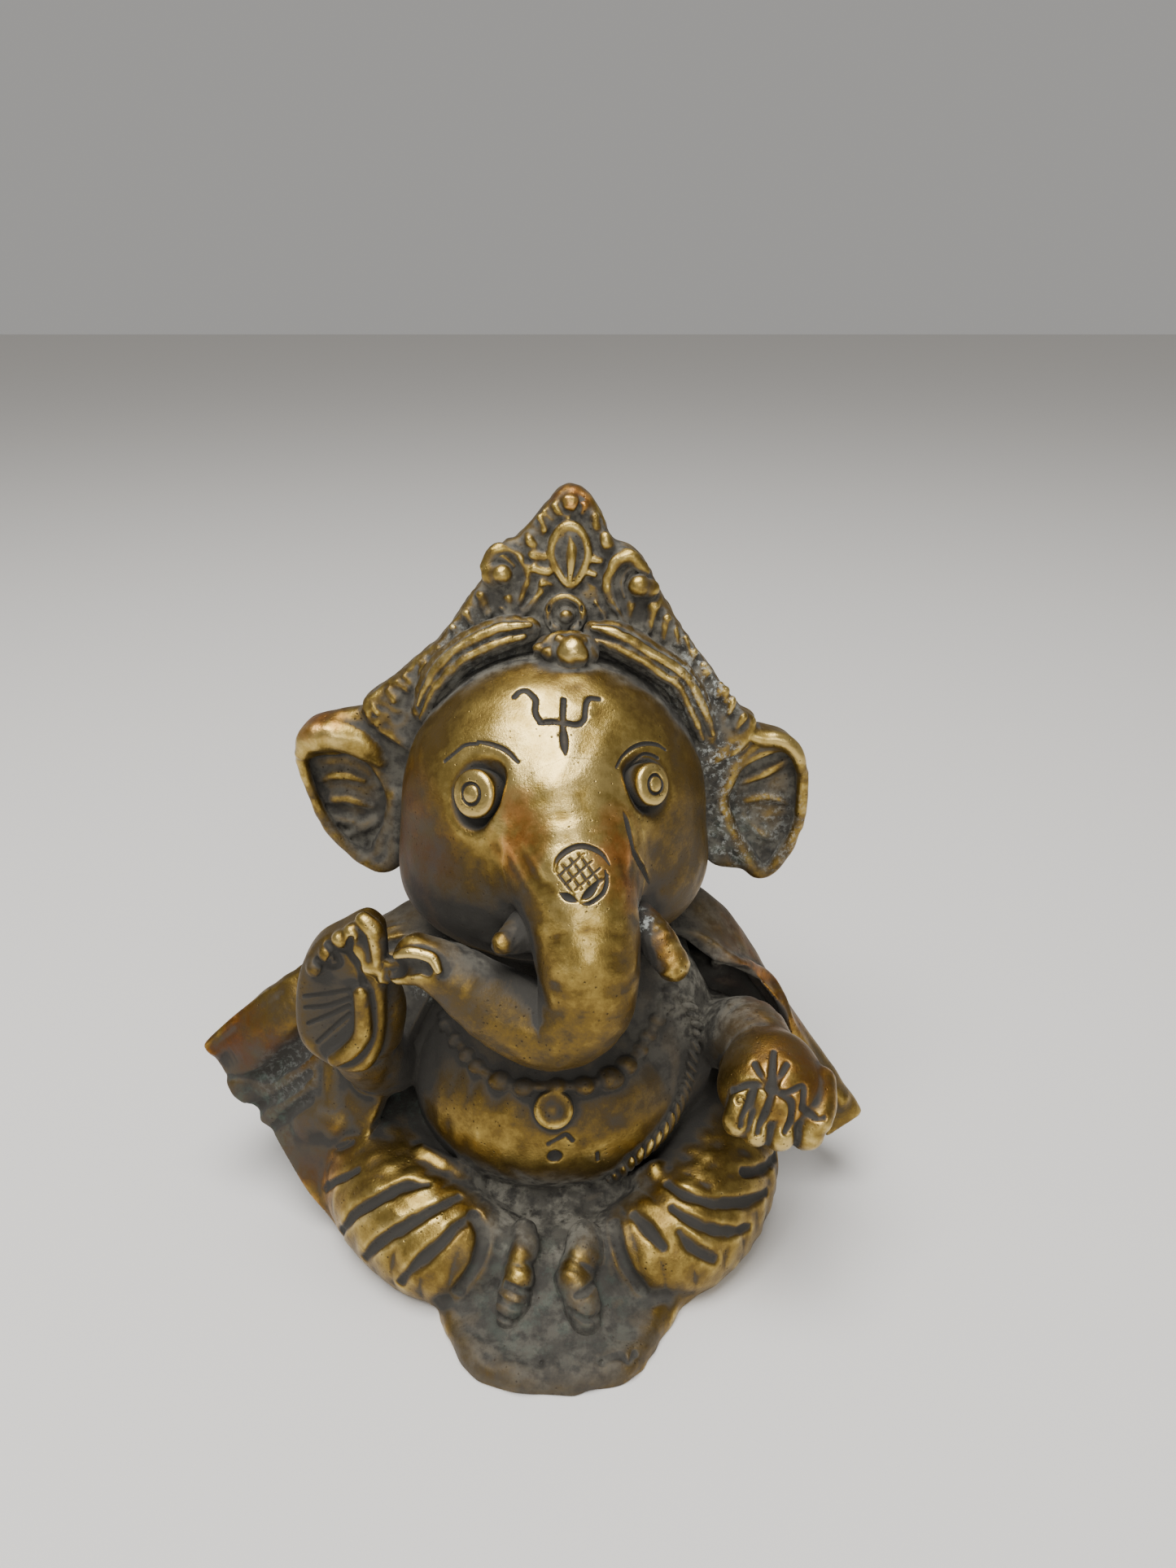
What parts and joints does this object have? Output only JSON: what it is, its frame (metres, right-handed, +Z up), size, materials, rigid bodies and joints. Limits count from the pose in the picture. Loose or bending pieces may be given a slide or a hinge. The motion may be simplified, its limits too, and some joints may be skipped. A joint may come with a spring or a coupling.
{
  "type": "ganesha idol",
  "caption": "Seated baby Ganesha idol in aged cast brass with a tall leaf crown, curled trunk, raised palm and flared cloak on a flat underside.",
  "frame": {"origin": "on the flat underside, straight below the crown's tip", "axes": "+Z up; the idol faces -Y; +X is towards the idol's own left hand"},
  "size_m": [0.0944, 0.0652, 0.0997],
  "materials": {
    "polished_brass": "worn golden brass, satin, handled bright on the high places, with pits and fine scratches",
    "patinated_brass": "dark grey-brown patina with reddish and green-grey oxide in the hollows and rubbed bright edges"
  },
  "bodies": {
    "root": {"torso": "polished_brass", "head_shell": "polished_brass", "trunk": "polished_brass", "tusk_right": "polished_brass", "tusk_left": "polished_brass", "eye_right": "polished_brass", "eye_left": "polished_brass", "headband_right": "polished_brass", "headband_left": "polished_brass", "brow_ornament": "polished_brass", "crown_jewel": "polished_brass", "crown_boss_right": "polished_brass", "crown_boss_left": "polished_brass", "crown_bead": "polished_brass", "crown_arch_ring": "polished_brass", "necklace": "polished_brass", "pendant": "polished_brass", "sacred_thread": "polished_brass", "hand_right": "polished_brass", "hand_left": "polished_brass", "foot_right": "polished_brass", "foot_left": "polished_brass", "neck_tenon": "patinated_brass", "crown_plate": "patinated_brass", "ear_right": "patinated_brass", "ear_left": "patinated_brass", "dhoti_base": "patinated_brass", "cloak": "patinated_brass", "arm_right": "patinated_brass", "arm_left": "patinated_brass", "bracelet_left": "patinated_brass", "trunk_hand_web": "patinated_brass"}
  },
  "joints": []
}
